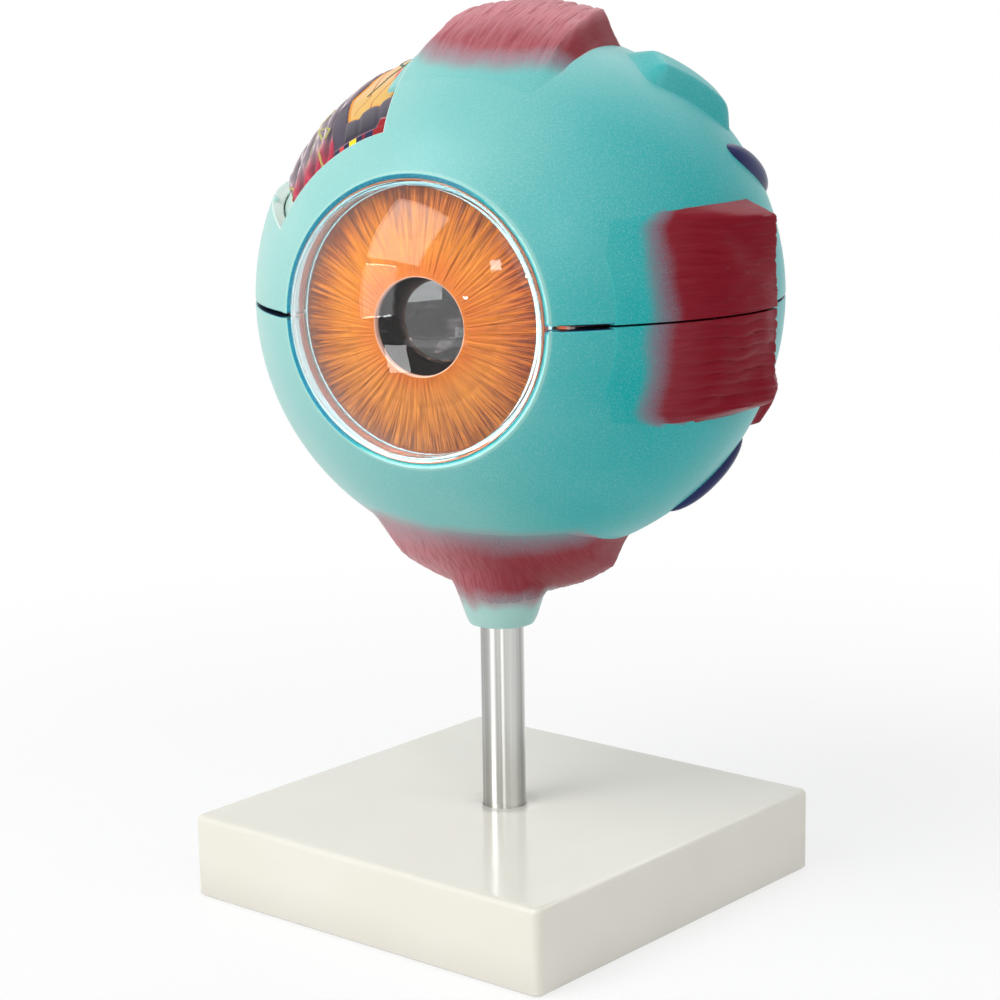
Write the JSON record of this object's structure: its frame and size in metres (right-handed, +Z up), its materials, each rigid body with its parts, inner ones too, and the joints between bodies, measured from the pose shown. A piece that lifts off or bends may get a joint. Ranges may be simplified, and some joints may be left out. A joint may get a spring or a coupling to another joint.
{
  "type": "eye anatomy model",
  "caption": "Take-apart anatomical model of a left eyeball with muscle stumps, cornea, iris, lens, choroid and vitreous body, on a steel rod and a square base.",
  "frame": {"origin": "centre of the base's underside, on the table and on the rod's axis", "axes": "+Z up along the rod; -Y out of the base's front face; the eye looks to -Y, turned 13.6 degrees to +X"},
  "size_m": [0.1512, 0.1632, 0.2431],
  "materials": {
    "base_plastic": "glossy ivory moulded plastic",
    "plate_plastic": "matt ivory moulded plastic",
    "screw_steel": "plain zinc-plated steel",
    "rod_steel": "satin ground steel",
    "sclera_paint": "satin sprayed paint on moulded plastic",
    "choroid_paint": "hand painted relief on moulded plastic",
    "clear_plastic": "polished clear plastic",
    "ciliary_paint": "satin dark brown paint",
    "iris_paint": "printed amber disc under clear coat",
    "nerve_paint": "satin yellow paint",
    "muscle_paint": "satin crimson paint over moulded fibres",
    "vein_paint": "dark blue paint"
  },
  "bodies": {
    "stand": {"base_shell": "base_plastic", "base_plate": "plate_plastic", "base_screws": "screw_steel"},
    "stem": {"rod": "rod_steel"},
    "eye_lower": {"sclera_lower": "sclera_paint", "locating_pins": "screw_steel", "optic_nerve": "nerve_paint", "optic_sheath_lower": "sclera_paint", "inferior_rectus": "muscle_paint", "lateral_rectus_lower": "muscle_paint", "medial_rectus_lower": "muscle_paint", "inferior_oblique": "muscle_paint", "vortex_veins_lower": "vein_paint"},
    "eye_upper": {"sclera_upper": "sclera_paint", "optic_sheath_upper": "sclera_paint", "superior_rectus": "muscle_paint", "lateral_rectus_upper": "muscle_paint", "medial_rectus_upper": "muscle_paint", "superior_oblique": "sclera_paint", "vortex_veins_upper": "vein_paint"},
    "choroid_top": {"choroid_upper": "choroid_paint"},
    "choroid_bottom": {"choroid_lower": "choroid_paint"},
    "vitreous": {"vitreous_front": "clear_plastic", "vitreous_rear": "clear_plastic", "ciliary_ring": "ciliary_paint"},
    "lens_body": {"lens": "clear_plastic"},
    "iris_body": {"iris": "iris_paint"},
    "cornea_body": {"cornea": "clear_plastic"}
  },
  "joints": [
    {"name": "rod_swivel", "type": "hinge", "parent": "stand", "child": "stem", "pos_m": [0, 0, 0.023], "axis": [0, 0, 1], "continuous": true},
    {"name": "eyeball_lift", "type": "slide", "parent": "stem", "child": "eye_lower", "axis": [0, 0, 1], "range_m": [0, 0.03]},
    {"name": "upper_half_lift", "type": "slide", "parent": "eye_lower", "child": "eye_upper", "axis": [0, 0, 1], "range_m": [0, 0.32]},
    {"name": "choroid_upper_lift", "type": "slide", "parent": "eye_lower", "child": "choroid_top", "axis": [0, 0, 1], "range_m": [0, 0.2432]},
    {"name": "vitreous_lift", "type": "slide", "parent": "eye_lower", "child": "vitreous", "axis": [0, 0, 1], "range_m": [0, 0.1728]},
    {"name": "choroid_lower_lift", "type": "slide", "parent": "eye_lower", "child": "choroid_bottom", "axis": [0, 0, 1], "range_m": [0, 0.0992]},
    {"name": "cornea_pull", "type": "slide", "parent": "eye_lower", "child": "cornea_body", "axis": [0.2351, -0.972, 0], "range_m": [0, 0.12]},
    {"name": "iris_pull", "type": "slide", "parent": "eye_lower", "child": "iris_body", "axis": [0.2351, -0.972, 0], "range_m": [0, 0.072]},
    {"name": "lens_pull", "type": "slide", "parent": "vitreous", "child": "lens_body", "axis": [0.2351, -0.972, 0], "range_m": [0, 0.036]}
  ],
  "couplings": [
    {"joint": "choroid_upper_lift", "follows": "upper_half_lift", "ratio": 0.76},
    {"joint": "vitreous_lift", "follows": "upper_half_lift", "ratio": 0.54},
    {"joint": "choroid_lower_lift", "follows": "upper_half_lift", "ratio": 0.31},
    {"joint": "iris_pull", "follows": "cornea_pull", "ratio": 0.6},
    {"joint": "lens_pull", "follows": "cornea_pull", "ratio": 0.3}
  ]
}
